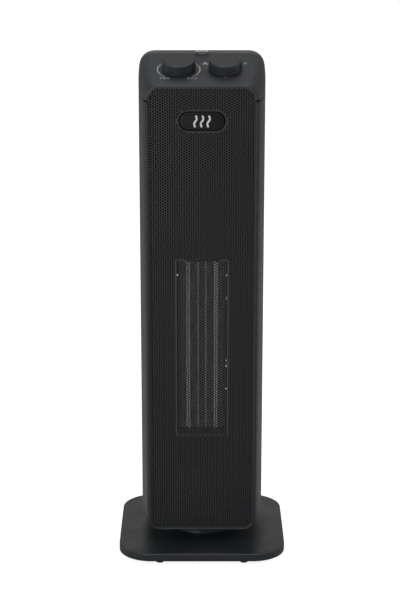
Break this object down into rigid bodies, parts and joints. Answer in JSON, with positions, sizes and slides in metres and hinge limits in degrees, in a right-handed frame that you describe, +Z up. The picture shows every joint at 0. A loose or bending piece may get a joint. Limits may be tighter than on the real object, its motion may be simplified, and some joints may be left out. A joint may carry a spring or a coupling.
{
  "type": "ceramic tower fan heater",
  "caption": "Slim ceramic tower fan heater on a square swivel base, with a perforated front, slanted control panel, rotary knobs and a swing button.",
  "frame": {"origin": "on the floor under the middle of the base", "axes": "+Z up, grille faces -Y, +X to the right seen from behind the origin looking along +Y"},
  "size_m": [0.201, 0.191, 0.6018],
  "materials": {
    "base_plastic": "semi-gloss charcoal",
    "body_plastic": "fine satin charcoal",
    "front_plastic": "satin near-black charcoal",
    "cap_plastic": "fine satin charcoal",
    "black_plastic": "matt black",
    "heater_plastic": "matt heat-proof black",
    "slip_plastic": "natural white",
    "knob_plastic": "fine satin charcoal",
    "button_plastic": "satin light grey",
    "badge_plastic": "semi-gloss black",
    "print_white": "satin white print",
    "grille_metal": "satin black powder coat",
    "rubber_foot": "matt black rubber",
    "steel_screw": "blackened zinc",
    "steel_bright": "bright zinc",
    "motor_steel": "galvanised sheet",
    "tube_aluminium": "bright extruded",
    "fin_aluminium": "mill finish",
    "ceramic": "sintered dark",
    "brass_tab": "plain",
    "copper_winding": "enamelled copper"
  },
  "bodies": {
    "base": {"base_top": "base_plastic", "base_bottom_plate": "black_plastic", "base_screws": "steel_screw", "rubber_feet": "rubber_foot", "drive_slot_block": "black_plastic", "slip_washer": "slip_plastic"},
    "tower": {"swivel_neck": "black_plastic", "swivel_retainer": "black_plastic", "retainer_screws": "steel_screw", "neck_screws": "steel_screw", "drive_mount_plate": "black_plastic", "swing_gearmotor": "motor_steel", "front_frame": "front_plastic", "rear_cover": "body_plastic", "housing_screws": "steel_screw", "cord_inlet_bushing": "rubber_foot", "front_grille": "grille_metal", "top_cap": "cap_plastic", "cap_screws": "steel_screw", "control_deck": "black_plastic", "air_baffle": "black_plastic", "front_badge": "badge_plastic", "badge_symbol": "print_white", "thermostat_body": "motor_steel", "mode_switch": "black_plastic", "thermostat_nut": "steel_bright", "mode_switch_nut": "steel_bright", "swing_switch": "black_plastic", "swing_switch_bracket": "black_plastic", "heater_frame": "heater_plastic", "heating_tubes": "tube_aluminium", "ceramic_stones": "ceramic", "contact_strips": "tube_aluminium", "fin_packs": "fin_aluminium", "cutout_bracket": "steel_bright", "thermal_cutout": "black_plastic", "thermal_fuse": "slip_plastic", "heater_terminals": "brass_tab", "tip_over_switch": "slip_plastic", "blower_end_lower": "motor_steel", "blower_end_upper": "motor_steel", "scroll_wall": "motor_steel", "tongue_wall": "motor_steel", "lower_shaft_bush": "brass_tab", "upper_shaft_bush": "brass_tab", "motor_stator": "motor_steel", "motor_windings": "copper_winding", "motor_can": "motor_steel"},
    "thermostat_dial": {"thermostat_knob": "knob_plastic", "thermostat_spindle": "steel_bright"},
    "mode_dial": {"mode_knob": "knob_plastic", "mode_spindle": "steel_bright"},
    "swing_key": {"swing_button": "button_plastic"},
    "blower_rotor": {"blower_wheel": "fin_aluminium", "blower_shaft": "steel_bright", "motor_rotor": "motor_steel"},
    "crank": {"swing_crank": "slip_plastic"}
  },
  "joints": [
    {"name": "tower_swing", "type": "hinge", "parent": "base", "child": "tower", "pos_m": [0, 0, 0.02], "axis": [0, 0, 1], "range_deg": [-35, 35]},
    {"name": "thermostat_turn", "type": "hinge", "parent": "tower", "child": "thermostat_dial", "pos_m": [-0.0268, -0.0194, 0.58473], "axis": [0, -0.3192, 0.9477], "range_deg": [-145, 145]},
    {"name": "mode_turn", "type": "hinge", "parent": "tower", "child": "mode_dial", "pos_m": [0.0268, -0.0194, 0.58473], "axis": [0, -0.3192, 0.9477], "range_deg": [-60, 60]},
    {"name": "swing_button_press", "type": "slide", "parent": "tower", "child": "swing_key", "axis": [0, 0, 1], "range_m": [-0.0025, 0], "stiffness_N_per_m": 300, "springref_m": 0.0005},
    {"name": "blower_spin", "type": "hinge", "parent": "tower", "child": "blower_rotor", "pos_m": [0, 0.014, 0.26], "axis": [0, 0, 1], "continuous": true},
    {"name": "crank_spin", "type": "hinge", "parent": "tower", "child": "crank", "pos_m": [0, 0.016, 0.026], "axis": [0, 0, 1], "continuous": true}
  ]
}
